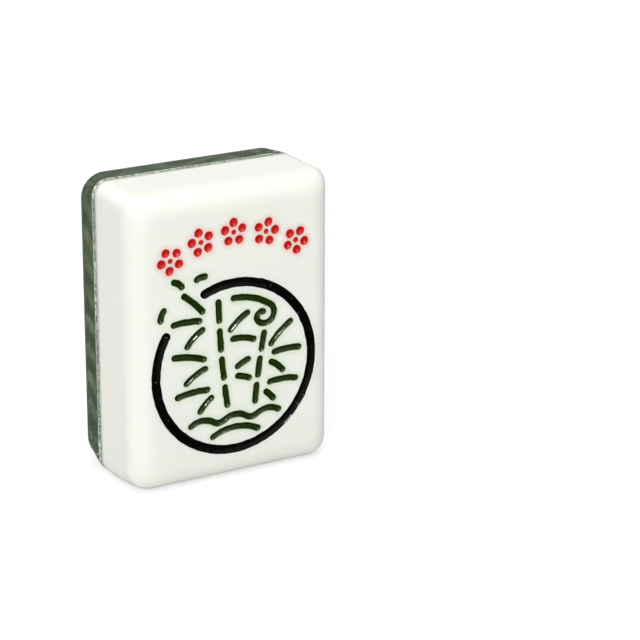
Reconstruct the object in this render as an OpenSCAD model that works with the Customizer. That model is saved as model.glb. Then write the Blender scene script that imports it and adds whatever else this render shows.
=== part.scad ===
// Mahjong tile standing on its short end, engraved face towards -Y.
// Lengths in millimetres, angles in degrees.

/* [Tile] */
// Height of the tile as it stands
tile_h = 30; // [26:0.5:36]
// Width of the tile
tile_w = 22; // [20:0.5:28]
// Radius of the tile's four corners at the joint
corner_r = 1.4; // [0.8:0.1:1.6]
// Radius that they open out to at the face and at the back
end_corner_r = 2.4; // [2.4:0.1:3.4]

/* [Face block] */
// Depth of the white block
block_d = 7.6; // [5:0.1:11]
// Radius of the rolled edge round the engraved face
face_edge_r = 2; // [0.8:0.1:2.2]

/* [Clear back] */
// Depth of the clear slab
slab_d = 4.4; // [3.4:0.1:7]
// Radius of the rolled edge round the back
back_edge_r = 2.2; // [0.8:0.1:2.3]

/* [Patterned layer] */
// Thickness of the bond between the block and the cloth
block_bond_t = 0.1; // [0.06:0.01:0.3]
// Thickness of the cloth
cloth_t = 0.18; // [0.1:0.01:0.4]
// Thickness of the printed stripes
print_t = 0.04; // [0.02:0.01:0.06]
// Thickness of the clear bond over the print
slab_bond_t = 0.12; // [0.1:0.01:0.3]

/* [Chevron print] */
// Rise from one stripe to the next
stripe_pitch = 2.91; // [2:0.01:5]
// Height of a stripe, measured up the tile
stripe_h = 1.56; // [0.8:0.02:1.8]
// Distance from one peak to the next
zigzag_w = 11.2; // [8:0.1:16]
// Height of a peak above its valleys
zigzag_rise = 4.2; // [2:0.1:7]
// Distance of the first peak to the right of the middle line
peak_out = 8.3; // [0:0.1:10]
// Height of that peak's middle above the tile's foot
peak_up = 15; // [10:0.1:20]
// Lean of the print to the right
print_lean = 3; // [-8:0.5:8]

/* [Engraving] */
// Depth of the grooves
cut_depth = 0.4; // [0.25:0.01:0.8]
// Height of bare groove wall over the enamel
enamel_drop = 0.06; // [0.03:0.01:0.12]
// Width of the green lines
line_w = 0.68; // [0.5:0.01:0.7]

/* [Ring] */
// Radius of the ring, along the middle of its line
ring_r = 8.57; // [8:0.01:9]
// Width of the ring's line
ring_line_w = 0.95; // [0.6:0.01:1]
// Height of the ring's middle above the tile's foot
ring_up = 11.7; // [11:0.1:13]
// Direction of the middle of the ring's opening
ring_open_at = 131; // [125:1:135]
// Angle that the opening takes out of the ring
ring_open = 38; // [34:1:44]

/* [Blossoms] */
// Distance of the blossoms' middles outside the ring's line
garland_gap = 5.08; // [4.9:0.02:5.4]
// Angle from one blossom to the next
blossom_step = 15; // [14:0.5:16]
// Distance of the petals from their blossom's middle
petal_out = 0.98; // [0.9:0.01:1.1]
// Width of a petal
petal_w = 0.92; // [0.6:0.01:0.95]
// Width of a blossom's heart
heart_w = 0.56; // [0.4:0.01:0.6]

/* [Hidden] */
$fn = 64;
overrun = 1;
blossoms = 5;
petals = 5;
dwell_share = 1.03;

// Share of the straight side over which a corner opens out
flare_share = 0.85;

garland_r = ring_r + garland_gap;

// Depths, measured towards the face from the middle of the tile
tile_d = block_d + block_bond_t + cloth_t + slab_bond_t + slab_d;
face_z = tile_d / 2;
block_z = face_z - block_d;
cloth_front_z = block_z - block_bond_t;
cloth_back_z = cloth_front_z - cloth_t;
slab_z = cloth_back_z - slab_bond_t;

// The print reaches past the tile's corners whichever way it leans
print_reach = (tile_w + tile_h) / 2 + peak_out;
zigzags = ceil(print_reach / (zigzag_w / 2));
stripes = ceil((tile_h / 2 + zigzag_rise + zigzag_w / 2) / stripe_pitch);

// Places in the ring are shares of its radius, from its middle.
// A spray of leaves: [across, up, distance of the leaves, [[direction, length, bend] of each leaf]]
crown_spray_shares = [-0.285, 0.615, 0.165, [[137, 0.31, 16], [179, 0.32, 20], [221, 0.26, 28]]];
left_spray_shares = [-0.235, 0.12, 0.165, [[168, 0.38, 20], [210, 0.28, 26]]];
low_spray_shares = [-0.19, -0.21, 0.165, [[184, 0.38, 20], [225, 0.2, 22]]];
middle_spray_shares = [-0.165, 0.36, 0.15, [[38, 0.27, -24], [-10, 0.27, -26]]];
inner_spray_shares = [-0.1, -0.07, 0.15, [[25, 0.15, -16], [-20, 0.15, -16]]];
right_spray_shares = [0.345, 0.08, 0.17, [[42, 0.34, -20], [1, 0.32, -20], [-40, 0.19, -22]]];
foot_spray_shares = [0.29, -0.265, 0.165, [[-2, 0.34, -20], [-46, 0.13, -16]]];

// A cane: [across, up, direction, joints, length of a joint, space between joints, bend at a joint]
tall_cane_shares = [-0.1, -0.45, 98, 4, 0.22, 0.125, -2];
short_cane_shares = [0.26, -0.47, 84, 3, 0.19, 0.125, -2];

// A running line: [across, up, direction, [[radius, turn] of each stretch]]
cloud_line_shares = [-0.01, 0.82, 0, [[0.82, -35], [0.12, -190], [0.065, -150]]];
hill_line_shares = [-0.568, -0.63, 35, [[0.25, -70], [0.12, 70], [0.25, -70], [0.12, 70], [0.25, -70]]];
bank_line_shares = [-0.29, -0.81, 28, [[0.62, -56]]];
loose_line_shares = [
    [-0.37, 1.13, 165, [[0.12, 50]]],
    [-0.66, 1.055, 120, [[0.14, 50]]],
    [-0.93, 0.7, 95, [[0.14, -50]]]
];

crown_lines = spray_lines(crown_spray_shares);
left_lines = spray_lines(left_spray_shares);
low_lines = spray_lines(low_spray_shares);
middle_lines = spray_lines(middle_spray_shares);
inner_lines = spray_lines(inner_spray_shares);
right_lines = spray_lines(right_spray_shares);
foot_lines = spray_lines(foot_spray_shares);
loose_lines = [for (line = loose_line_shares) in_ring(line)];
tall_cane_lines = cane_lines(tall_cane_shares);
short_cane_lines = cane_lines(short_cane_shares);
cloud_lines = [in_ring(cloud_line_shares)];
hill_lines = [in_ring(hill_line_shares)];
bank_lines = [in_ring(bank_line_shares)];
green_lines = concat(
    crown_lines, left_lines, low_lines, middle_lines, inner_lines, right_lines, foot_lines,
    loose_lines, tall_cane_lines, short_cane_lines, cloud_lines, hill_lines, bank_lines
);

ring_from = ring_open_at + ring_open / 2;
ring_line = [
    ring_r * cos(ring_from),
    ring_r * sin(ring_from),
    ring_from + 90,
    [[ring_r, 360 - ring_open]]
];

// A line is [x, y, direction, run]: the run is a list of [radius, turn], or [0, length] where it is straight
function step_along(p, length) = [p[0] + length * cos(p[2]), p[1] + length * sin(p[2]), p[2]];
function side(turn) = turn < 0 ? -1 : 1;
function turning_point(p, stretch) = [
    p[0] - stretch[0] * side(stretch[1]) * sin(p[2]),
    p[1] + stretch[0] * side(stretch[1]) * cos(p[2])
];
function stretch_end(p, stretch) =
    stretch[0] == 0
        ? step_along(p, stretch[1])
        : let (
            middle = turning_point(p, stretch),
            out = stretch[0] * side(stretch[1]),
            heading = p[2] + stretch[1]
        ) [middle[0] + out * sin(heading), middle[1] - out * cos(heading), heading];
function place_at(p, run, count) =
    count == 0 ? p : stretch_end(place_at(p, run, count - 1), run[count - 1]);

// Shares of the ring's radius become lengths
function stretch_in_ring(stretch) =
    stretch[0] == 0 ? [0, stretch[1] * ring_r] : [stretch[0] * ring_r, stretch[1]];
function in_ring(line) = [
    line[0] * ring_r,
    line[1] * ring_r,
    line[2],
    [for (stretch = line[3]) stretch_in_ring(stretch)]
];

function spray_lines(spray) = [
    for (leaf = spray[3])
        let (
            root = step_along([spray[0], spray[1], leaf[0]], spray[2]),
            bend_r = leaf[1] / (abs(leaf[2]) * PI / 180)
        ) in_ring([root[0], root[1], leaf[0] - leaf[2] / 2, [[bend_r, leaf[2]]]])
];

function cane_joint(cane, count) =
    count == 0
        ? [cane[0], cane[1], cane[2]]
        : let (
            top = step_along(cane_joint(cane, count - 1), cane[4])
        ) step_along([top[0], top[1], top[2] + cane[6]], cane[5]);
function cane_lines(cane) = [
    for (k = [0 : cane[3] - 1])
        let (foot = cane_joint(cane, k)) in_ring([foot[0], foot[1], foot[2], [[0, cane[4]]]])
];

// What is drawn lying down, face up, stands up
module stand() {
    rotate([90, 0, 0])
        children();
}

module tile_outline() {
    inner_w = tile_w - 2 * corner_r;
    inner_h = tile_h - 2 * corner_r;
    translate([-inner_w / 2, 0])
        square([inner_w, tile_h]);
    translate([-tile_w / 2, corner_r])
        square([tile_w, inner_h]);
    for (x = [-inner_w / 2, inner_w / 2], y = [corner_r, tile_h - corner_r])
        translate([x, y])
            circle(corner_r);
}

module sheet(back_z, front_z) {
    translate([0, 0, back_z])
        linear_extrude(front_z - back_z)
            tile_outline();
}

module quarter_disc(radius) {
    intersection() {
        circle(radius);
        square(radius);
    }
}

// Section through one edge of a slab: the outer corner at the top is rolled over
module edge_section(depth, roll_r) {
    translate([0, -depth])
        square([end_corner_r, depth - roll_r]);
    translate([0, -depth])
        square([end_corner_r - roll_r, depth]);
    translate([end_corner_r - roll_r, -roll_r])
        quarter_disc(roll_r);
}

// One corner of a slab: tight at its foot, and opened out where the edge begins to roll over
module slab_corner(depth, roll_r) {
    inner = end_corner_r - corner_r;
    tip_out = inner * (sqrt(2) - 1);
    intersection() {
        translate([0, 0, -depth])
            linear_extrude(depth) {
                square([inner, end_corner_r]);
                square([end_corner_r, inner]);
                translate([inner, inner])
                    quarter_disc(corner_r);
            }
        rotate_extrude(angle = 90) {
            edge_section(depth, roll_r);
            polygon([
                [inner, -depth],
                [end_corner_r + tip_out / flare_share, -depth],
                [end_corner_r, -roll_r],
                [inner, -roll_r]
            ]);
        }
    }
}

// A slab whose upper edge is rolled over all round: its top lies at zero
module rolled_slab(depth, roll_r) {
    inner_w = tile_w - 2 * end_corner_r;
    inner_h = tile_h - 2 * end_corner_r;
    translate([-inner_w / 2, -inner_h / 2, -depth])
        cube([inner_w, inner_h, depth]);
    for (k = [0 : 3]) {
        length = k % 2 == 0 ? inner_h : inner_w;
        out = k % 2 == 0 ? inner_w / 2 : inner_h / 2;
        rotate([0, 0, 90 * k])
            translate([out, length / 2, 0]) {
                rotate([90, 0, 0])
                    linear_extrude(length)
                        edge_section(depth, roll_r);
                slab_corner(depth, roll_r);
            }
    }
}

// A band that follows an arc, from the X axis
module arc_band(radius, width, turn) {
    far = 2 * (radius + width);
    difference() {
        circle(radius + width / 2);
        circle(radius - width / 2);
        polygon([
            [0, 0],
            for (k = [0 : 4])
                let (a = turn + (360 - turn) * k / 4) [far * cos(a), far * sin(a)]
        ]);
    }
}

// The outline that a round cutter leaves along a line: it widens a little wherever the cutter turns or stops
module cutter_path(line, width) {
    start = [line[0], line[1], line[2]];
    run = line[3];
    for (k = [0 : len(run) - 1]) {
        p = place_at(start, run, k);
        if (run[k][0] == 0)
            translate([p[0], p[1]])
                rotate(p[2])
                    translate([0, -width / 2])
                        square([run[k][1], width]);
        else
            translate(turning_point(p, run[k]))
                rotate(p[2] - 90 * side(run[k][1]) + min(run[k][1], 0))
                    arc_band(run[k][0], width, abs(run[k][1]));
    }
    for (k = [0 : len(run)]) {
        p = place_at(start, run, k);
        translate([p[0], p[1]])
            circle(width / 2 * dwell_share);
    }
}

module blossom_outline(number) {
    rotate(-(number - (blossoms + 1) / 2) * blossom_step)
        translate([0, garland_r]) {
            circle(heart_w / 2);
            for (k = [0 : petals - 1])
                rotate(360 / petals * k)
                    translate([0, petal_out])
                        circle(petal_w / 2);
        }
}

// The grooves reach from their floor out through the face
module groove() {
    translate([0, ring_up, face_z - cut_depth])
        linear_extrude(cut_depth + overrun)
            children();
}

// The enamel fills a groove to just under the face
module enamel() {
    stand()
        translate([0, ring_up, face_z - cut_depth])
            linear_extrude(cut_depth - enamel_drop)
                children();
}

module green_enamel(lines) {
    color("#33430f")
        enamel()
            for (line = lines)
                cutter_path(line, line_w);
}

module stripe_shapes() {
    intersection() {
        tile_outline();
        translate([peak_out, peak_up])
            rotate(-print_lean)
                for (k = [-stripes : stripes])
                    translate([0, k * stripe_pitch])
                        polygon([
                            for (j = [-zigzags : zigzags])
                                [j * zigzag_w / 2, stripe_h / 2 - abs(j % 2) * zigzag_rise],
                            for (j = [zigzags : -1 : -zigzags])
                                [j * zigzag_w / 2, -stripe_h / 2 - abs(j % 2) * zigzag_rise]
                        ]);
    }
}

module print_layer(reach) {
    translate([0, 0, cloth_back_z - print_t])
        linear_extrude(print_t + reach)
            stripe_shapes();
}

module face_block() {
    color("white")
        stand()
            difference() {
                translate([0, tile_h / 2, face_z])
                    rolled_slab(block_d, face_edge_r);
                groove()
                    cutter_path(ring_line, ring_line_w);
                for (k = [1 : blossoms])
                    groove()
                        blossom_outline(k);
                for (line = green_lines)
                    groove()
                        cutter_path(line, line_w);
            }
}

module block_bond() {
    color("gainsboro")
        stand()
            sheet(cloth_front_z, block_z);
}

module pattern_cloth() {
    color("#c8e8af")
        stand()
            sheet(cloth_back_z, cloth_front_z);
}

module chevron_print() {
    color("#6c9a55")
        stand()
            print_layer(0);
}

module slab_bond() {
    color("#e6f2e2", 0.5)
        stand()
            difference() {
                sheet(slab_z, cloth_back_z);
                print_layer(overrun);
            }
}

module back_slab() {
    color("#dff0dc", 0.4)
        stand()
            translate([0, tile_h / 2, slab_z - slab_d])
                mirror([0, 0, 1])
                    rolled_slab(slab_d, back_edge_r);
}

module ring_enamel() {
    color("#0a0e09")
        enamel()
            cutter_path(ring_line, ring_line_w);
}

module blossom_enamel(number) {
    color("#d72323")
        enamel()
            blossom_outline(number);
}

face_block();
block_bond();
pattern_cloth();
chevron_print();
slab_bond();
back_slab();
ring_enamel();
blossom_enamel(1);  // blossom_enamel_1
blossom_enamel(2);  // blossom_enamel_2
blossom_enamel(3);  // blossom_enamel_3
blossom_enamel(4);  // blossom_enamel_4
blossom_enamel(5);  // blossom_enamel_5
green_enamel(tall_cane_lines);  // tall_cane_enamel
green_enamel(short_cane_lines);  // short_cane_enamel
green_enamel(crown_lines);  // crown_leaf_enamel
green_enamel(left_lines);  // left_leaf_enamel
green_enamel(low_lines);  // low_leaf_enamel
green_enamel(middle_lines);  // middle_leaf_enamel
green_enamel(inner_lines);  // inner_leaf_enamel
green_enamel(right_lines);  // right_leaf_enamel
green_enamel(foot_lines);  // foot_leaf_enamel
green_enamel(loose_lines);  // loose_leaf_enamel
green_enamel(cloud_lines);  // cloud_enamel
green_enamel(hill_lines);  // hill_enamel
green_enamel(bank_lines);  // bank_enamel
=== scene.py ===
import math

import bmesh
import bpy
import numpy as np
from mathutils import Matrix, Vector, noise
from mathutils.geometry import delaunay_2d_cdt, tessellate_polygon


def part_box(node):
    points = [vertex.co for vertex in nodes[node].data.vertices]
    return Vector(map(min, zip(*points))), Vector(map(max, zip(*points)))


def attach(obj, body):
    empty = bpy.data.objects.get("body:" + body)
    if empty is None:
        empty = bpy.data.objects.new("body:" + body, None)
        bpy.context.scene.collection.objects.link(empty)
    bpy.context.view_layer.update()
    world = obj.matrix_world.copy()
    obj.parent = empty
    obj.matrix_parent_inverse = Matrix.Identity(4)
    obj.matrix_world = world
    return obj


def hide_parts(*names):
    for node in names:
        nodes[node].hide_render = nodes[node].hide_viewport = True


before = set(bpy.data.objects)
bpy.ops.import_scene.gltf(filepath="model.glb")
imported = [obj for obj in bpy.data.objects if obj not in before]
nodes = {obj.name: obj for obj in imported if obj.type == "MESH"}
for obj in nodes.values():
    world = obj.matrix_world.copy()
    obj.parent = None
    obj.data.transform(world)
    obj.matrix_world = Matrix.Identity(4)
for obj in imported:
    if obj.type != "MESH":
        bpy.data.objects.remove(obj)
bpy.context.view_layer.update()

# Mahjong tile, upright. Shapes are worked out in millimetres as (x, z) outlines with a depth in y,
# and turned into metres when the mesh is made. The engraved face looks towards -Y.

mm = 0.001
sameLevel = 0.001      # mm, points this close together lie at one level


# Camera

cameraSetup = {
    "place": (-0.10838, -0.20743, 0.09711),
    "forward": (0.4768, 0.8136, -0.3327),
    "roll": 0.24,      # degrees
    "lens": 140.92,    # mm
    "sensor": 36,      # mm
    "clip": (0.01, 20),
}


def makeCamera(setup):
    data = bpy.data.cameras.new("photo_camera")
    data.lens = setup["lens"]
    data.sensor_width = setup["sensor"]
    data.clip_start, data.clip_end = setup["clip"]
    camera = bpy.data.objects.new("photo_camera", data)
    bpy.context.scene.collection.objects.link(camera)
    aim = Vector(setup["forward"]).to_track_quat("-Z", "Y").to_matrix().to_4x4()
    roll = Matrix.Rotation(math.radians(setup["roll"]), 4, "Z")
    camera.matrix_world = Matrix.Translation(setup["place"]) @ aim @ roll
    bpy.context.scene.camera = camera


makeCamera(cameraSetup)
print("camera set")


# The tile's outline and depths, read from the frame

def nodePoints(name):
    return np.array([v.co for v in nodes[name].data.vertices]) / mm


def readTile():
    blockLow, blockHigh = (np.array(c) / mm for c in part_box("face_block"))
    slabLow, slabHigh = (np.array(c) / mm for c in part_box("back_slab"))
    clothLow, clothHigh = (np.array(c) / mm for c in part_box("pattern_cloth"))
    printHigh = np.array(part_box("chevron_print")[1]) / mm
    bond = nodePoints("block_bond")
    footHalf = np.abs(bond[bond[:, 2] < bond[:, 2].min() + sameLevel, 0]).max()
    return {
        "halfW": blockHigh[0],
        "middle": blockHigh[2] / 2,
        "jointR": blockHigh[0] - footHalf,
        "faceY": blockLow[1],
        "blockBackY": blockHigh[1],
        "clothFrontY": clothLow[1],
        "clothBackY": clothHigh[1],
        "printBackY": printHigh[1],
        "slabFrontY": slabLow[1],
        "backY": slabHigh[1],
        "floorOfGroovesY": nodePoints("ring_enamel")[:, 1].max(),
    }


tile = readTile()

edgeShape = {
    "cornerR": 2.9,       # corners seen from the front, where the faces start
    # the same where the rolled edges start, from the top right corner on over the top left one
    "front": {"topR": (1.4, 1.5, 2.3, 1.8), "opening": 3},
    "back": {"topR": (2.3, 2.5, 2.7, 2.4), "opening": 1.4},
    "reach": 2.35,        # how far the rolled edge runs in over the face
    "depth": 2.2,         # and down the side
    "fullness": 2.15,     # 2 is a quarter circle
    "rollSteps": 14,
    "crown": 0.07,        # the polished faces fall off this much to their corners
    "fillFrom": 1.6,      # inside this inset the face is one sheet
    "steps": (10, (24, 36)),    # of an outline, over a corner and along the ends and the sides
}


def insideDistance(x, z):
    # how far inside the outline of the rolled edges a point lies
    corner = edgeShape["cornerR"]
    qx = np.abs(x) - (tile["halfW"] - corner)
    qz = np.abs(z - tile["middle"]) - (tile["middle"] - corner)
    outside = np.hypot(np.maximum(qx, 0), np.maximum(qz, 0))
    return corner - outside - np.minimum(np.maximum(qx, qz), 0)


def rollDrop(inset):
    t = np.clip(1 - inset / edgeShape["reach"], 0, 1)
    n = edgeShape["fullness"]
    return edgeShape["depth"] * (1 - (1 - t ** n) ** (1 / n))


def crownDrop(x, z):
    across, up = x / tile["halfW"], (z - tile["middle"]) / tile["middle"]
    return edgeShape["crown"] * (across ** 2 + up ** 2) / 2


def faceDrop(x, z):
    # depth of the polished, rolled surface below the highest point of its face
    return rollDrop(insideDistance(x, z)) + crownDrop(x, z)


def tileOutline(inset, corner, steps=edgeShape["steps"]):
    # the rounded rectangle, drawn in by an inset, anticlockwise seen with x to the right and z up
    arcSteps, sideSteps = steps
    signs = [(1, 1), (-1, 1), (-1, -1), (1, -1)]
    arcs = []
    for k, ((sx, sz), radius) in enumerate(zip(signs, np.broadcast_to(corner, 4))):
        heart = (sx * (tile["halfW"] - radius), tile["middle"] + sz * (tile["middle"] - radius))
        angles = np.radians(90 * k + np.linspace(0, 90, arcSteps + 1))
        arcs.append(heart + (radius - inset) * np.column_stack([np.cos(angles), np.sin(angles)]))
    points = []
    for k, arc in enumerate(arcs):
        here, there = arc[-1], arcs[(k + 1) % 4][0]
        count = sideSteps[k % 2]
        points += [arc, here + (there - here) * np.arange(1, count)[:, None] / count]
    return np.vstack(points)


def openedCorner(inset, wallShare, end):
    # the corners are tight at the joint and open out up the wall, and more so over the rolled edge
    topR = np.array(end["topR"])
    wallR = tile["jointR"] + (topR - tile["jointR"]) * min(1, wallShare) ** end["opening"]
    return wallR + (edgeShape["cornerR"] - topR) * min(1, inset / edgeShape["fillFrom"])


# Meshes are put together from loops of points

def newShell():
    return {"points": [], "faces": []}


def addPoints(shell, outline, y):
    start = len(shell["points"])
    depths = np.broadcast_to(y, len(outline))
    shell["points"] += [(x, d, z) for (x, z), d in zip(outline.tolist(), depths.tolist())]
    return list(range(start, start + len(outline)))


def bridge(shell, loopA, loopB):
    count = len(loopA)
    for k in range(count):
        j = (k + 1) % count
        shell["faces"].append((loopA[k], loopA[j], loopB[j], loopB[k]))


def cap(shell, loop):
    flat = [Vector((shell["points"][k][0], shell["points"][k][2], 0)) for k in loop]
    triangles = tessellate_polygon([flat])
    shell["faces"] += [tuple(loop[k] for k in triangle) for triangle in triangles]


def sideLoops(shell, previous, jointY, wallFrom, faceY, end, wallSteps):
    # from the joint up the wall and over the rolled edge, to where the face is one sheet
    towards = 1 if faceY > jointY else -1
    depth = abs(faceY - jointY)
    wallTop = depth - edgeShape["depth"]
    stops = [(0, level) for level in np.linspace(abs(wallFrom - jointY), wallTop, wallSteps + 1)]
    n = edgeShape["fullness"]
    lastAngle = math.acos((1 - edgeShape["fillFrom"] / edgeShape["reach"]) ** (n / 2))
    for angle in np.linspace(0, lastAngle, edgeShape["rollSteps"] + 1)[1:]:
        inset = edgeShape["reach"] * (1 - math.cos(angle) ** (2 / n))
        stops.append((inset, depth - rollDrop(inset)))
    for inset, level in stops:
        outline = tileOutline(inset, openedCorner(inset, level / wallTop, end))
        crown = crownDrop(outline[:, 0], outline[:, 1]) * (level / depth) ** 2
        loop = addPoints(shell, outline, jointY + towards * (level - crown))
        bridge(shell, previous, loop)
        previous = loop
    return previous


def sheetFill(shell, rim, holes, spacing, clearance, height):
    # triangles between the rim and the holes, over an even field of points that keeps clear of both
    insideOutlines, weldWithin = 1, 1e-6
    loops = [rim] + holes
    edges = np.array([shell["points"][k] for loop in loops for k in loop])[:, [0, 2]]
    low, high = edges.min(0), edges.max(0)
    xs = np.arange(low[0] + spacing / 2, high[0], spacing)
    zs = np.arange(low[1] + spacing / 2, high[1], spacing * math.sqrt(3) / 2)
    field = np.array([(x + (j % 2) * spacing / 2, z) for j, z in enumerate(zs) for x in xs])
    inside = insideDistance(field[:, 0], field[:, 1]) > edgeShape["fillFrom"] + clearance
    field = field[inside]
    near = np.array([np.hypot(*(edges - p).T).min() for p in field])
    field = field[near > clearance]
    owners = [k for loop in loops for k in loop]
    outlines, first = [], 0
    for loop in loops:
        outlines.append(list(range(first, first + len(loop))))
        first += len(loop)
    coords = [Vector(p) for p in edges] + [Vector(p) for p in field]
    _, _, triangles, sources, _, homes = delaunay_2d_cdt(
        coords, [], outlines, insideOutlines, weldWithin,
    )
    owners += addPoints(shell, field, height(field[:, 0], field[:, 1]))
    for triangle, home in zip(triangles, homes):
        if max(home) == 0:      # in the rim's outline and in no hole's
            shell["faces"].append(tuple(owners[sources[k][0]] for k in triangle))


def makePiece(shell, name, material):
    mesh = bpy.data.meshes.new(name)
    mesh.from_pydata([tuple(c * mm for c in p) for p in shell["points"]], [], shell["faces"])
    work = bmesh.new()
    work.from_mesh(mesh)
    bmesh.ops.recalc_face_normals(work, faces=work.faces)
    work.to_mesh(mesh)
    work.free()
    mesh.shade_smooth()
    mesh.materials.append(material)
    piece = bpy.data.objects.new(name, mesh)
    bpy.context.scene.collection.objects.link(piece)
    return piece


# Outlines of the engraving, from the fronts of the enamel nodes

def signedArea(loop):
    ahead = np.roll(loop, -1, 0)
    return (loop[:, 0] * ahead[:, 1] - ahead[:, 0] * loop[:, 1]).sum() / 2


def anticlockwise(loop):
    return loop if signedArea(loop) > 0 else loop[::-1]


def frontOutlines(name, atBack=False):
    mesh = nodes[name].data
    points = nodePoints(name)
    level = points[:, 1].max() if atBack else points[:, 1].min()
    onLevel = np.abs(points[:, 1] - level) < sameLevel
    keys = [tuple(np.round(p[[0, 2]], 4)) if on else None for p, on in zip(points, onLevel)]
    following = {}
    for polygon in mesh.polygons:
        corner = [keys[k] for k in polygon.vertices]
        if None not in corner:
            for a, b in zip(corner, corner[1:] + corner[:1]):
                if a != b:
                    following.setdefault(a, set()).add(b)
    edge = {a: b for a in following for b in following[a] if a not in following.get(b, ())}
    outlines = []
    while edge:
        start = next(iter(edge))
        loop = [start]
        while edge[loop[-1]] != start:
            loop.append(edge[loop[-1]])
        for p in loop:
            del edge[p]
        outlines.append(anticlockwise(np.array(loop)))
    return outlines


cutLook = {
    "step": 0.09,
    "finer": 4,            # the curve is drawn this much finer before it is stepped off
    "fewest": 24,          # points round a groove
    "smoothing": 2,
    # the cutter was led by hand, so the walls waver a little: how much, over what length
    "waver": [(0.042, 0.6), (0.015, 0.2)],
    "waverSeed": 5.1,
}


def roundedLoop(loop, look):
    # a smooth curve through the outline's corners, at even steps
    step = look["step"]
    ahead = np.roll(loop, -1, 0)
    behind = np.roll(loop, 1, 0)
    tangent = ahead - behind
    tangent /= np.linalg.norm(tangent, axis=1)[:, None]
    curve = []
    for k in range(len(loop)):
        a, b = loop[k], ahead[k]
        length = np.linalg.norm(b - a)
        count = max(2, math.ceil(look["finer"] * length / step))
        t = np.linspace(0, 1, count, endpoint=False)[:, None]
        ta, tb = tangent[k] * length, tangent[(k + 1) % len(loop)] * length
        curve.append(
            (2 * t ** 3 - 3 * t ** 2 + 1) * a + (t ** 3 - 2 * t ** 2 + t) * ta
            + (3 * t ** 2 - 2 * t ** 3) * b + (t ** 3 - t ** 2) * tb
        )
    curve = np.vstack(curve)
    around = np.append(0, np.cumsum(np.linalg.norm(np.roll(curve, -1, 0) - curve, axis=1)))
    count = max(look["fewest"], round(around[-1] / step))
    places = np.linspace(0, around[-1], count, endpoint=False)
    closed = np.vstack([curve, curve[:1]])
    even = np.column_stack([np.interp(places, around, closed[:, c]) for c in (0, 1)])
    for _ in range(look["smoothing"]):
        even = even / 2 + (np.roll(even, 1, 0) + np.roll(even, -1, 0)) / 4
    return even


def widened(loop, by):
    tangent = np.roll(loop, -1, 0) - np.roll(loop, 1, 0)
    tangent /= np.linalg.norm(tangent, axis=1)[:, None]
    return loop + by * np.column_stack([tangent[:, 1], -tangent[:, 0]])


def strokeHalfWidth(loop):
    # for any line of even width with round ends
    length = np.linalg.norm(np.roll(loop, -1, 0) - loop, axis=1).sum()
    spread = math.sqrt(max(0, length ** 2 - 4 * math.pi * signedArea(loop)))
    return (length - spread) / (2 * math.pi)


def noiseAlong(loop, size, seed):
    return np.array([noise.noise(Vector((x, z, seed)) / size) for x, z in loop])


def handCut(loop, look):
    loop = roundedLoop(loop, look)
    seed = look["waverSeed"]
    shift = sum(amount * noiseAlong(loop, size, seed) for amount, size in look["waver"])
    return widened(loop, shift[:, None])


inkedNodes = [name for name in sorted(nodes) if name.endswith("_enamel") or "_enamel_" in name]
engraving = {
    name: [handCut(loop, cutLook) for loop in frontOutlines(name)] for name in inkedNodes
}
print("outlines read:", sum(len(loops) for loops in engraving.values()))


def enamelColour(name):
    if name.startswith("ring"):
        return "black"
    return "red" if name.startswith("blossom") else "green"


# Material helpers. In the looks below a noise is its scale, detail and roughness, a bump is its
# distance in metres and its strength, and a range is what it starts from and what it gives.

def newMaterial(name):
    material = bpy.data.materials.new(name)
    material.use_nodes = True
    tree = material.node_tree
    shader = tree.nodes["Principled BSDF"]
    return material, tree, shader


def addNode(tree, kind, settings=None, **inputs):
    node = tree.nodes.new(kind)
    for key, value in (settings or {}).items():
        setattr(node, key, value)
    for key, value in inputs.items():
        node.inputs[key.replace("_", " ")].default_value = value
    return node


def setInputs(shader, values):
    for key, value in values.items():
        shader.inputs[key].default_value = value


def objectCoordinates(tree):
    return addNode(tree, "ShaderNodeTexCoord").outputs["Object"]


def noiseField(tree, coordinates, scale, detail, roughness=0.5):
    field = addNode(tree, "ShaderNodeTexNoise", Scale=scale, Detail=detail, Roughness=roughness)
    tree.links.new(coordinates, field.inputs["Vector"])
    return field.outputs["Fac"]


def ramp(tree, value, stops):
    node = addNode(tree, "ShaderNodeValToRGB")
    elements = node.color_ramp.elements
    while len(elements) < len(stops):
        elements.new(0.5)
    for element, (place, colour) in zip(elements, stops):
        element.position = place
        element.color = (*colour, 1)
    tree.links.new(value, node.inputs["Fac"])
    return node.outputs["Color"]


def mapRange(tree, value, fromMin, fromMax, toMin, toMax):
    node = addNode(tree, "ShaderNodeMapRange")
    setInputs(node, {"From Min": fromMin, "From Max": fromMax, "To Min": toMin, "To Max": toMax})
    tree.links.new(value, node.inputs["Value"])
    return node.outputs["Result"]


def maths(tree, operation, a, b=None):
    node = addNode(tree, "ShaderNodeMath", {"operation": operation})
    for socket, value in zip(node.inputs, (a, b)):
        if isinstance(value, (int, float)):
            socket.default_value = value
        elif value is not None:
            tree.links.new(value, socket)
    return node.outputs["Value"]


def mixColour(tree, factor, a, b, blend="MIX"):
    node = addNode(tree, "ShaderNodeMix", {"data_type": "RGBA", "blend_type": blend})
    for socket, value in ((node.inputs[0], factor), (node.inputs[6], a), (node.inputs[7], b)):
        if isinstance(value, (int, float)):
            socket.default_value = value
        elif isinstance(value, tuple):
            socket.default_value = (*value, 1)
        else:
            tree.links.new(value, socket)
    return node.outputs[2]


def mixShaders(tree, factor, first, second):
    # the second one's share of the surface is the factor
    mix = addNode(tree, "ShaderNodeMixShader")
    for socket, value in zip(mix.inputs, (factor, first, second)):
        tree.links.new(value, socket)
    tree.links.new(mix.outputs["Shader"], tree.nodes["Material Output"].inputs["Surface"])


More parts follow.
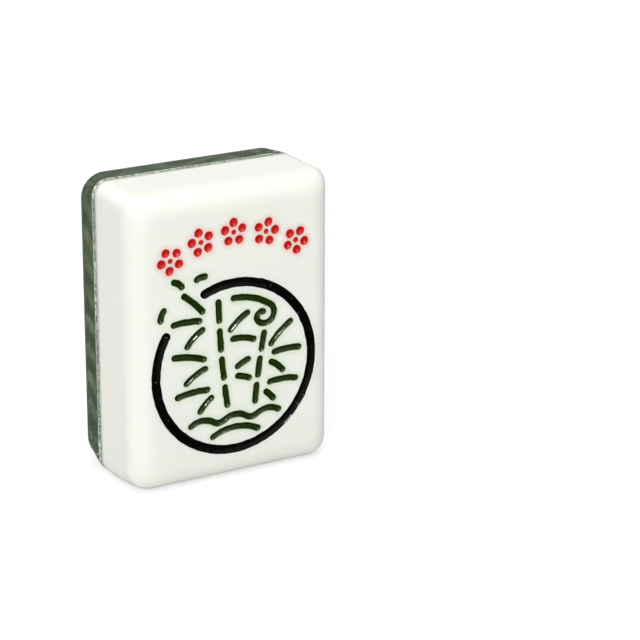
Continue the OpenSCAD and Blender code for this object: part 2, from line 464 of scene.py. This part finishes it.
def addBump(tree, shader, height, distance, strength):
    node = addNode(tree, "ShaderNodeBump", Strength=strength, Distance=distance)
    tree.links.new(height, node.inputs["Height"])
    tree.links.new(node.outputs["Normal"], shader.inputs["Normal"])


# White block

blockLook = {
    "colour": (0.883, 0.895, 0.83),
    "shade": (0.868, 0.884, 0.82),
    "cloudNoise": (260, 4),
    "cloudRange": (0.35, 0.7, 0, 1),
    "wearNoise": (340, 3),
    "wearRange": (0.3, 0.75, 0.2, 0.26),      # gives the roughness
    "waveNoise": (150, 1),
    "waveBump": (0.00002, 0.4),
    "plastic": {
        "IOR": 1.5,
        "Subsurface Weight": 0.35,
        "Subsurface Radius": (1.0, 0.95, 0.8),
        "Subsurface Scale": 0.0006,
    },
    "jointChamfer": 0.06,
    "wallSteps": 10,
    # the groove's lip: how far out from the wall, and how deep
    "lip": [(0.08, 0), (0.055, 0), (0.035, 0.004), (0.015, 0.018), (0.0, 0.05)],
    "fieldSpacing": 0.34,
    "fieldClearance": 0.12,
    # painted light: the enamel's colour is laid on the plastic beside it, as if light coloured by
    # the enamel spread through the translucent white
    "paintedRedGlow": (1.0, 0.74, 0.71),
    "paintedGreenGlow": (0.84, 0.95, 0.8),
    "paintedGlowReach": 0.6,
    "paintedGlowDepth": 0.5,
    "paintedGlowFade": 1.6,
}


def whitePlastic(look):
    material, tree, shader = newMaterial("white_plastic")
    place = objectCoordinates(tree)
    cloudy = mapRange(tree, noiseField(tree, place, *look["cloudNoise"]), *look["cloudRange"])
    base = mixColour(tree, cloudy, look["colour"], look["shade"])
    # painted light: near the grooves the white is multiplied by the enamel's colour, a painted glow
    for attribute in ("paintedRedGlow", "paintedGreenGlow"):
        near = addNode(tree, "ShaderNodeAttribute", {"attribute_name": attribute}).outputs["Fac"]
        base = mixColour(tree, near, base, mixColour(tree, 1.0, base, look[attribute], "MULTIPLY"))
    tree.links.new(base, shader.inputs["Base Color"])
    worn = mapRange(tree, noiseField(tree, place, *look["wearNoise"]), *look["wearRange"])
    tree.links.new(worn, shader.inputs["Roughness"])
    addBump(tree, shader, noiseField(tree, place, *look["waveNoise"]), *look["waveBump"])
    setInputs(shader, look["plastic"])
    return material


def nearness(points, names, look):
    # 1 at the named grooves' edges, fading to 0 at the reach
    edges = np.vstack([loop for name in names for loop in engraving[name]])
    flat = np.array(points)[:, [0, 2]]
    near = np.array([np.hypot(*(edges - p).T).min() for p in flat])
    return np.clip(1 - near / look["paintedGlowReach"], 0, 1) ** look["paintedGlowFade"]


# painted light: how strongly each point near the front takes the enamel's coloured glow
def addPaintedGlow(block, points, look):
    front = np.array(points)[:, 1] < tile["faceY"] + look["paintedGlowDepth"]
    for attribute, colour in (("paintedRedGlow", "red"), ("paintedGreenGlow", "green")):
        names = [name for name in inkedNodes if enamelColour(name) == colour]
        values = np.where(front, nearness(points, names, look), 0).astype(np.float32)
        block.data.attributes.new(attribute, "FLOAT", "POINT").data.foreach_set("value", values)


def makeBlock(look):
    shell = newShell()
    foot = tileOutline(look["jointChamfer"], tile["jointR"])
    previous = addPoints(shell, foot, tile["blockBackY"])
    cap(shell, previous)
    wallFrom = tile["blockBackY"] - look["jointChamfer"]
    previous = sideLoops(
        shell, previous, tile["blockBackY"], wallFrom, tile["faceY"], edgeShape["front"],
        look["wallSteps"],
    )
    holes = []
    for name in inkedNodes:
        for line in engraving[name]:
            rings = []
            for out, depth in look["lip"]:
                ring = widened(line, out)
                surface = tile["faceY"] + faceDrop(ring[:, 0], ring[:, 1])
                rings.append(addPoints(shell, ring, surface + depth))
            rings.append(addPoints(shell, line, tile["floorOfGroovesY"]))
            for upper, lower in zip(rings, rings[1:]):
                bridge(shell, upper, lower)
            cap(shell, rings[-1])
            holes.append(rings[0])
    sheetFill(
        shell, previous, holes, look["fieldSpacing"], look["fieldClearance"],
        lambda x, z: tile["faceY"] + faceDrop(x, z),
    )
    block = makePiece(shell, "white_block", whitePlastic(look))
    addPaintedGlow(block, shell["points"], look)
    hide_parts("face_block")
    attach(block, "root")


makeBlock(blockLook)
print("white block made")


# Enamel in the grooves

enamelLook = {
    "wallGap": 0.006,
    "rimDepth": 0.025,
    "hollow": 2.0,
    "insetShares": [0, 0.05, 0.11, 0.18, 0.26, 0.36, 0.48, 0.62, 0.76, 0.9],
    # the set surface is uneven, less so at its rim
    "unevenness": 0.022,
    "unevenSize": 0.5,
    "unevenSeed": 3.7,
    "unevenAtRim": 0.4,
    "unevenGrowth": 4,
    # paint pools: it is deepest in colour this far below its rim, and was mixed by hand
    "poolDepth": 0.14,
    "mixNoise": (1600, 3),
    "mixShare": 0.5,
    "toneStops": (0.14, 0.7),
    # pale specks mixed into the enamel's colour; only the black has them
    "speckNoise": (3800, 2, 0.6),
    "speckFrom": (0.7, 0.74),
    "speckColour": (0.6, 0.62, 0.58),
    "grainNoise": (2600, 5),
    "grainFrom": (0.3, 0.75),
    "grainRoughness": 0.06,
    "rippleNoise": (2400, 2),
    "rippleHeight": 0.00004,
    "ior": 1.5,
    # dish: its depth as a share of the line's half width
    "black": {
        "deep": (0.0012, 0.0016, 0.001), "thin": (0.002, 0.003, 0.002),
        "roughness": 0.05, "shine": 0.28, "dish": 0.56, "ripple": 1.0, "specks": 0.35,
    },
    "red": {
        "deep": (0.64, 0.012, 0.01), "thin": (0.82, 0.035, 0.026),
        "roughness": 0.05, "shine": 0.5, "dish": 0.8, "ripple": 0.8, "specks": 0,
    },
    "green": {
        "deep": (0.014, 0.034, 0.003), "thin": (0.16, 0.2, 0.018),
        "roughness": 0.04, "shine": 0.5, "dish": 0.85, "ripple": 1.0, "specks": 0,
    },
}


def enamelMaterial(colour, look):
    material, tree, shader = newMaterial(colour + "_enamel")
    paint = look[colour]
    place = objectCoordinates(tree)
    axes = addNode(tree, "ShaderNodeSeparateXYZ")
    tree.links.new(place, axes.inputs["Vector"])
    rim = (tile["faceY"] + look["rimDepth"]) * mm
    depth = mapRange(tree, axes.outputs["Y"], rim, rim + look["poolDepth"] * mm, 0, 1)
    mixed = maths(tree, "MULTIPLY", noiseField(tree, place, *look["mixNoise"]), look["mixShare"])
    pooled = maths(tree, "SUBTRACT", maths(tree, "ADD", depth, mixed), look["mixShare"] / 2)
    tone = ramp(tree, pooled, list(zip(look["toneStops"], (paint["thin"], paint["deep"]))))
    speckField = noiseField(tree, place, *look["speckNoise"])
    specks = mapRange(tree, speckField, *look["speckFrom"], 0, paint["specks"])
    base = mixColour(tree, specks, tone, look["speckColour"])
    tree.links.new(base, shader.inputs["Base Color"])
    grain = noiseField(tree, place, *look["grainNoise"])
    roughest = paint["roughness"] + look["grainRoughness"]
    rough = mapRange(tree, grain, *look["grainFrom"], paint["roughness"], roughest)
    tree.links.new(rough, shader.inputs["Roughness"])
    ripples = noiseField(tree, place, *look["rippleNoise"])
    addBump(tree, shader, ripples, look["rippleHeight"], paint["ripple"])
    setInputs(shader, {"IOR": look["ior"], "Specular IOR Level": paint["shine"]})
    return material


def makeEnamel(name, colour, material, look):
    shell = newShell()
    for line in engraving[name]:
        half = strokeHalfWidth(line)
        edge = widened(line, -look["wallGap"])
        previous = addPoints(shell, edge, tile["floorOfGroovesY"] - look["wallGap"])
        cap(shell, previous)
        for share in look["insetShares"]:
            ring = widened(line, -look["wallGap"] - share * half)
            surface = tile["faceY"] + faceDrop(ring[:, 0], ring[:, 1])
            dish = look[colour]["dish"] * half * (1 - (1 - share) ** look["hollow"])
            grown = min(1, look["unevenGrowth"] * share + look["unevenAtRim"])
            wave = noiseAlong(ring, look["unevenSize"], look["unevenSeed"])
            depth = look["rimDepth"] + dish + look["unevenness"] * wave * grown
            loop = addPoints(shell, ring, surface + depth)
            bridge(shell, previous, loop)
            previous = loop
        cap(shell, previous)
    piece = makePiece(shell, name.replace("_enamel", "_inlay"), material)
    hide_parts(name)
    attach(piece, "root")


enamels = {colour: enamelMaterial(colour, enamelLook) for colour in ("black", "red", "green")}
for name in inkedNodes:
    colour = enamelColour(name)
    makeEnamel(name, colour, enamels[colour], enamelLook)
print("enamel made")


# Bond between block and cloth

bondLook = {
    "noise": (1300, 5, 0.6),
    "tones": [(0.3, (0.08, 0.11, 0.08)), (0.5, (0.19, 0.25, 0.18)), (0.72, (0.6, 0.67, 0.58))],
    "roughRange": (0.3, 0.7, 0.25, 0.5),
    "bump": (0.00003, 0.6),
}


def milkyBond(look):
    material, tree, shader = newMaterial("milky_bond")
    streaks = noiseField(tree, objectCoordinates(tree), *look["noise"])
    tree.links.new(ramp(tree, streaks, look["tones"]), shader.inputs["Base Color"])
    tree.links.new(mapRange(tree, streaks, *look["roughRange"]), shader.inputs["Roughness"])
    addBump(tree, shader, streaks, *look["bump"])
    return material


def setMaterial(name, material):
    slots = nodes[name].material_slots
    if not slots:
        nodes[name].data.materials.append(material)
    for slot in slots:
        slot.material = material


setMaterial("block_bond", milkyBond(bondLook))


# Cloth and its chevron print

clothLook = {
    "inset": 0.035,
    "printInset": 0.0525,
    "steps": (14, (165, 230)),
    "raggedness": 0.012,
    "raggedSize": 1 / 9,
    "raggedSeed": 1.3 / 9,
    "threadPitch": 0.25,
    "threadNoise": (700, 2),
    "threadWobble": 0.35,
    "weaveBump": (0.00004, 0.5),
    "ground": (0.76, 0.94, 0.58),
    "groundShade": (0.55, 0.80, 0.38),
    "groundPale": (0.82, 0.955, 0.685),
    "groundWeave": (0.5, 1, 0, 0.7),
    "groundNoise": (500, 3),
    "groundWear": (0.4, 0.75, 0, 0.5),
    "groundFinish": {"Roughness": 0.85, "Specular IOR Level": 0.05},
    "ink": (0.24, 0.47, 0.13),
    "inkShade": (0.13, 0.31, 0.07),
    "inkWorn": (0.38, 0.62, 0.25),
    "inkWeave": (0.2, 0.8, 0, 1),
    "inkGaps": (0.66, 0.9, 0, 0.9),
    "inkNoise": (420, 4, 0.6),
    "inkWear": (0.45, 0.75, 0, 0.4),
    "inkFinish": {"Roughness": 0.8, "Specular IOR Level": 0.05},
    # painted shade: a dark, uneven gloss that takes the place of the threads' colour at a low angle
    "groundPaintedShade": [(0.4, (0.1, 0.16, 0.06)), (0.6, (0.3, 0.38, 0.24))],
    "inkPaintedShade": [(0.4, (0.025, 0.075, 0.025)), (0.6, (0.1, 0.16, 0.06))],
    "paintedShadeNoise": (800, 2),
    "glossRoughness": 0.6,
    "paintedShadeRange": (0.18, 0.45, 0, 0.88),
    "edgeNoise": (2300, 4, 0.7),
    "edgeTones": [(0.35, (0.2, 0.23, 0.19)), (0.52, (0.5, 0.55, 0.48)), (0.64, (0.82, 0.86, 0.8))],
    "edgeRoughness": 0.5,
    "edgeBump": (0.00003, 0.6),
    "printStep": 0.16,
    "wander": 0.07,
    "wanderSize": 0.2,
    "wanderSeeds": (8.1 / 5, 21.4 / 5),
    "embed": 0.01,
}


def weaveFields(tree, look):
    # two fields of threads crossing over and under each other
    pitch = look["threadPitch"] * mm
    scale, detail = look["threadNoise"]
    place = objectCoordinates(tree)
    wobble = addNode(tree, "ShaderNodeVectorMath", {"operation": "MULTIPLY_ADD"})
    shift = addNode(tree, "ShaderNodeTexNoise", Scale=scale, Detail=detail)
    tree.links.new(place, shift.inputs["Vector"])
    tree.links.new(shift.outputs["Color"], wobble.inputs[0])
    wobble.inputs[1].default_value = (look["threadWobble"] * pitch,) * 3
    tree.links.new(place, wobble.inputs[2])
    axes = addNode(tree, "ShaderNodeSeparateXYZ")
    tree.links.new(wobble.outputs["Vector"], axes.inputs["Vector"])
    turn = 2 * math.pi / pitch
    across = maths(tree, "SINE", maths(tree, "MULTIPLY", axes.outputs["X"], turn))
    along = maths(tree, "SINE", maths(tree, "MULTIPLY", axes.outputs["Z"], turn))
    crossed = maths(tree, "MULTIPLY", maths(tree, "MULTIPLY", across, along), 0.5)
    return place, maths(tree, "ADD", crossed, 0.5)


def addPaintedLowAngleShade(tree, shader, look, tones):
    # painted shade: at a low angle a dark, blotchy gloss takes over from the dyed threads, so that
    # the cloth seen from the side looks as dim as if little light reached it from behind
    facing = addNode(tree, "ShaderNodeLayerWeight", Blend=0.5).outputs["Facing"]
    gloss = addNode(tree, "ShaderNodeBsdfAnisotropic", Roughness=look["glossRoughness"])
    blotches = noiseField(tree, objectCoordinates(tree), *look["paintedShadeNoise"])
    tree.links.new(ramp(tree, blotches, tones), gloss.inputs["Color"])
    share = mapRange(tree, facing, *look["paintedShadeRange"])
    mixShaders(tree, share, shader.outputs["BSDF"], gloss.outputs["BSDF"])


def clothMaterial(look):
    material, tree, shader = newMaterial("cloth")
    place, height = weaveFields(tree, look)
    shaded = mapRange(tree, height, *look["groundWeave"])
    base = mixColour(tree, shaded, look["ground"], look["groundShade"])
    worn = mapRange(tree, noiseField(tree, place, *look["groundNoise"]), *look["groundWear"])
    base = mixColour(tree, worn, base, look["groundPale"])
    tree.links.new(base, shader.inputs["Base Color"])
    setInputs(shader, look["groundFinish"])
    addBump(tree, shader, height, *look["weaveBump"])
    addPaintedLowAngleShade(tree, shader, look, look["groundPaintedShade"])
    return material


def printMaterial(look):
    material, tree, shader = newMaterial("cloth_print")
    place, height = weaveFields(tree, look)
    raised = mapRange(tree, height, *look["inkWeave"])
    base = mixColour(tree, raised, look["inkShade"], look["ink"])
    base = mixColour(tree, mapRange(tree, height, *look["inkGaps"]), base, look["inkWorn"])
    worn = mapRange(tree, noiseField(tree, place, *look["inkNoise"]), *look["inkWear"])
    base = mixColour(tree, worn, base, look["inkWorn"])
    tree.links.new(base, shader.inputs["Base Color"])
    setInputs(shader, look["inkFinish"])
    addBump(tree, shader, height, *look["weaveBump"])
    addPaintedLowAngleShade(tree, shader, look, look["inkPaintedShade"])
    return material


def cutEdgeMaterial(look):
    material, tree, shader = newMaterial("cut_edge")
    frayed = noiseField(tree, objectCoordinates(tree), *look["edgeNoise"])
    tree.links.new(ramp(tree, frayed, look["edgeTones"]), shader.inputs["Base Color"])
    setInputs(shader, {"Roughness": look["edgeRoughness"]})
    addBump(tree, shader, frayed, *look["edgeBump"])
    return material


def makeCloth(look):
    shell = newShell()
    outline = tileOutline(look["inset"], tile["jointR"], look["steps"])
    frayed = noiseAlong(outline, look["raggedSize"], look["raggedSeed"])
    outline = widened(outline, look["raggedness"] * frayed[:, None])
    front = addPoints(shell, outline, tile["clothFrontY"] + look["embed"] / 2)
    back = addPoints(shell, outline, tile["clothBackY"])
    bridge(shell, front, back)
    cap(shell, front)
    cap(shell, back)
    cloth = makePiece(shell, "woven_cloth", clothMaterial(look))
    cloth.data.shade_flat()
    cloth.data.materials.append(cutEdgeMaterial(look))
    for polygon in cloth.data.polygons:
        polygon.material_index = 1 if abs(polygon.normal.y) < 0.5 else 0
    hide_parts("pattern_cloth")
    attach(cloth, "root")


def pulledInside(outline, inset):
    # points outside the drawn-in tile outline move onto it
    flat = np.array([tile["halfW"] - tile["jointR"], tile["middle"] - tile["jointR"]])
    centred = outline - (0, tile["middle"])
    heart = np.clip(centred, -flat, flat)
    out = centred - heart
    limit = tile["jointR"] - inset
    shrink = limit / np.maximum(np.linalg.norm(out, axis=1), limit)
    return heart + out * shrink[:, None] + (0, tile["middle"])


def evenSteps(loop, step):
    points = []
    for a, b in zip(loop, np.roll(loop, -1, 0)):
        count = max(1, round(np.linalg.norm(b - a) / step))
        points += [a + (b - a) * k / count for k in range(count)]
    return np.array(points)


def makePrint(look):
    # soaked a little way into the cloth
    shell = newShell()
    for loop in frontOutlines("chevron_print", atBack=True):
        stripe = evenSteps(loop, look["printStep"])
        drift = [noiseAlong(stripe, look["wanderSize"], seed) for seed in look["wanderSeeds"]]
        stripe = stripe + look["wander"] * np.column_stack(drift)
        stripe = pulledInside(stripe, look["printInset"])
        bottom = addPoints(shell, stripe, tile["clothBackY"] - look["embed"])
        top = addPoints(shell, stripe, tile["printBackY"] - look["embed"])
        bridge(shell, bottom, top)
        cap(shell, bottom)
        cap(shell, top)
    stripes = makePiece(shell, "printed_chevrons", printMaterial(look))
    stripes.data.shade_flat()
    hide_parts("chevron_print")
    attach(stripes, "root")


makeCloth(clothLook)
makePrint(clothLook)
print("cloth and print made")


# Clear back, one clear body with its bond. It wraps the print, so that only plastic lies between

slabLook = {
    "wrap": 0.02,             # reaches this far past the cloth's surface
    "jointChamfer": 0.03,
    "wallSteps": 8,
    "fieldSpacing": 0.9,
    "fieldClearance": 0.3,
    "tint": (0.55, 0.62, 0.52),
    "tintPerMetre": 50.0,
    "handledNoise": (700, 5, 0.6),
    "handledRange": (0.45, 0.8, 0.0, 0.012),      # gives the roughness
    "waveNoise": (190, 2),
    "waveBump": (0.00003, 0.35),
    "plastic": {"Base Color": (1, 1, 1, 1), "Transmission Weight": 1.0, "IOR": 1.49},
}

rimLook = {
    "in": 0.14,               # how far the slab's foot is drawn in to make room for the bond's rim
    "up": 0.15,               # how far the bond has crept up the slab's foot
    "clear": 0.008,           # of the foot's wall
    "under": 0.004,           # of the slab over it
    "foot": [(0.012, 0), (0.0, 0.03)],        # inset, and rise from the cloth
    "head": [(0.004, 0.02), (0.02, 0)],       # inset, and drop from the rim's top
    "steps": (14, (60, 84)),
    "bubbleNoise": (2300, 3, 0.65),
    "bubbleStops": (0.42, 0.5, 0.6),
    "bubbleColours": [(0.12, 0.15, 0.11), (0.31, 0.36, 0.29), (0.7, 0.76, 0.68)],
    "driftNoise": (240, 2),
    "driftRange": (0.38, 0.52, 0.2, 1),
    "roughRange": (0.4, 0.6, 0.15, 0.4),
    "bump": (0.00003, 0.8),
}


def clearPlastic(look):
    material, tree, shader = newMaterial("clear_plastic")
    place = objectCoordinates(tree)
    setInputs(shader, look["plastic"])
    handled = mapRange(tree, noiseField(tree, place, *look["handledNoise"]), *look["handledRange"])
    tree.links.new(handled, shader.inputs["Roughness"])
    addBump(tree, shader, noiseField(tree, place, *look["waveNoise"]), *look["waveBump"])
    absorb = addNode(tree, "ShaderNodeVolumeAbsorption")
    setInputs(absorb, {"Color": (*look["tint"], 1), "Density": look["tintPerMetre"]})
    output = tree.nodes["Material Output"]
    tree.links.new(absorb.outputs["Volume"], output.inputs["Volume"])
    return material


def bondRimMaterial(look):
    # full of small bubbles, and set to a milky skin
    material, tree, shader = newMaterial("bond_rim")
    place = objectCoordinates(tree)
    bubbles = noiseField(tree, place, *look["bubbleNoise"])
    milk = ramp(tree, bubbles, list(zip(look["bubbleStops"], look["bubbleColours"])))
    drift = mapRange(tree, noiseField(tree, place, *look["driftNoise"]), *look["driftRange"])
    tone = mixColour(tree, drift, look["bubbleColours"][0], milk)
    tree.links.new(tone, shader.inputs["Base Color"])
    tree.links.new(mapRange(tree, bubbles, *look["roughRange"]), shader.inputs["Roughness"])
    addBump(tree, shader, bubbles, *look["bump"])
    return material


def makeSlab(look, rim):
    shell = newShell()
    foot = tileOutline(rim["in"], tile["jointR"])
    previous = addPoints(shell, foot, tile["clothBackY"] - look["wrap"])
    cap(shell, previous)
    rimTop = tile["slabFrontY"] + rim["up"]
    for outline in (foot, tileOutline(look["jointChamfer"], tile["jointR"])):
        loop = addPoints(shell, outline, rimTop)
        bridge(shell, previous, loop)
        previous = loop
    previous = sideLoops(
        shell, previous, tile["slabFrontY"], rimTop + look["jointChamfer"], tile["backY"],
        edgeShape["back"], look["wallSteps"],
    )
    sheetFill(
        shell, previous, [], look["fieldSpacing"], look["fieldClearance"],
        lambda x, z: tile["backY"] - faceDrop(x, z),
    )
    slab = makePiece(shell, "clear_back", clearPlastic(look))
    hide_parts("back_slab")
    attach(slab, "root")


def makeBondRim(look):
    # inside the rim the bond is as clear as the slab, and part of its body
    shell = newShell()
    low, high = tile["clothBackY"], tile["slabFrontY"] + look["up"] - look["under"]
    inner = look["in"] - look["clear"]
    section = [(inner, low)] + [(inset, low + rise) for inset, rise in look["foot"]]
    section += [(inset, high - drop) for inset, drop in look["head"]] + [(inner, high)]
    loops = []
    for inset, y in section:
        loops.append(addPoints(shell, tileOutline(inset, tile["jointR"], look["steps"]), y))
    for a, b in zip(loops, loops[1:] + loops[:1]):
        bridge(shell, a, b)
    rim = makePiece(shell, "bond_rim", bondRimMaterial(look))
    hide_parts("slab_bond")
    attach(rim, "root")


makeSlab(slabLook, rimLook)
makeBondRim(rimLook)
print("clear back made")


# Floor, lamps and surroundings

studio = {
    "floorSize": 3.0,
    "floorDrop": 0.00002,
    "floorColour": (0.9, 0.9, 0.9),
    "floorShade": (0.882, 0.882, 0.882),
    "floorNoise": (3, 2),
    "floorFinish": {"Roughness": 0.9, "Specular IOR Level": 0},
    "floorWhite": 0.6,               # share of plain white that the camera sees in the floor
    "whiteLevel": 1.1,
    "whiteInShine": 0.28,            # how much of the white backdrop a reflection shows
    "mattBounce": 0.5,               # parts rays that have met no matt surface from those that have
    "lit": (-0.38, -0.54, 0.75),     # the surroundings are brightest on this side
    "litRange": (0.15, 0.95, 0.03, 0.64),
    "backdropRange": (-0.3, 0.2, 0, 1),
    "behind": (0, 0.985, 0.17),      # and a softbox stands here, seen by nothing but matt surfaces
    "behindRange": (0.9, 0.97, 0, 8.0),
    "lamps": [
        # name, place, size, watts
        ("key", (-0.42, -0.5, 0.6), 0.13, 3.0),
        ("top", (0.05, -0.05, 0.8), 0.5, 3.1),
    ],
    "aim": (0, 0, 0.015),
}


def whiteRays(tree, setup):
    # 1 for rays of the camera, a reflection or the clear plastic, before anything matt is met
    path = addNode(tree, "ShaderNodeLightPath")
    shine = maths(tree, "MULTIPLY", path.outputs["Is Glossy Ray"], setup["whiteInShine"])
    seen = maths(tree, "MAXIMUM", path.outputs["Is Camera Ray"], shine)
    seen = maths(tree, "MAXIMUM", seen, path.outputs["Is Transmission Ray"])
    direct = maths(tree, "LESS_THAN", path.outputs["Diffuse Depth"], setup["mattBounce"])
    return maths(tree, "MULTIPLY", seen, direct)


def makeFloor(setup):
    mesh = bpy.data.meshes.new("floor")
    half = setup["floorSize"] / 2
    corners = [(-half, -half, 0), (half, -half, 0), (half, half, 0), (-half, half, 0)]
    mesh.from_pydata(corners, [], [(0, 1, 2, 3)])
    floor = bpy.data.objects.new("floor", mesh)
    floor.location.z = -setup["floorDrop"]
    floor.visible_glossy = False
    bpy.context.scene.collection.objects.link(floor)
    material, tree, shader = newMaterial("floor")
    uneven = noiseField(tree, objectCoordinates(tree), *setup["floorNoise"])
    tone = mixColour(tree, uneven, setup["floorColour"], setup["floorShade"])
    tree.links.new(tone, shader.inputs["Base Color"])
    setInputs(shader, setup["floorFinish"])
    white = addNode(tree, "ShaderNodeEmission", Color=(1, 1, 1, 1), Strength=setup["whiteLevel"])
    share = maths(tree, "MULTIPLY", whiteRays(tree, setup), setup["floorWhite"])
    mixShaders(tree, share, shader.outputs["BSDF"], white.outputs["Emission"])
    mesh.materials.append(material)


def levelTowards(tree, place, direction, levels):
    # a level that depends on how near a direction of the surroundings is to the given one
    node = addNode(tree, "ShaderNodeVectorMath", {"operation": "DOT_PRODUCT"})
    node.inputs[1].default_value = direction
    tree.links.new(place, node.inputs[0])
    return mapRange(tree, node.outputs["Value"], *levels)


def makeWorld(setup):
    world = bpy.data.worlds.new("studio")
    bpy.context.scene.world = world
    world.use_nodes = True
    tree = world.node_tree
    background = tree.nodes["Background"]
    place = addNode(tree, "ShaderNodeTexCoord").outputs["Generated"]
    axes = addNode(tree, "ShaderNodeSeparateXYZ")
    tree.links.new(place, axes.inputs["Vector"])
    path = addNode(tree, "ShaderNodeLightPath")
    # the white backdrop stands behind the tile; only the camera sees it all round
    backdrop = mapRange(tree, axes.outputs["Y"], *setup["backdropRange"])
    seen = maths(tree, "MULTIPLY", whiteRays(tree, setup), backdrop)
    seen = maths(tree, "MAXIMUM", seen, path.outputs["Is Camera Ray"])
    level = levelTowards(tree, place, setup["lit"], setup["litRange"])
    softbox = levelTowards(tree, place, setup["behind"], setup["behindRange"])
    bounced = maths(tree, "GREATER_THAN", path.outputs["Diffuse Depth"], setup["mattBounce"])
    level = maths(tree, "ADD", level, maths(tree, "MULTIPLY", softbox, bounced))
    tree.links.new(maths(tree, "MAXIMUM", seen, level), background.inputs["Strength"])
    background.inputs["Color"].default_value = (1, 1, 1, 1)


def makeLamps(setup):
    for name, place, size, power in setup["lamps"]:
        data = bpy.data.lights.new(name, "AREA")
        data.shape = "SQUARE"
        data.size = size
        data.energy = power
        lamp = bpy.data.objects.new(name, data)
        bpy.context.scene.collection.objects.link(lamp)
        turn = (Vector(setup["aim"]) - Vector(place)).to_track_quat("-Z", "Y")
        lamp.matrix_world = Matrix.Translation(place) @ turn.to_matrix().to_4x4()


makeFloor(studio)
makeWorld(studio)
makeLamps(studio)
bpy.context.scene.view_settings.view_transform = "Standard"
print("studio made")
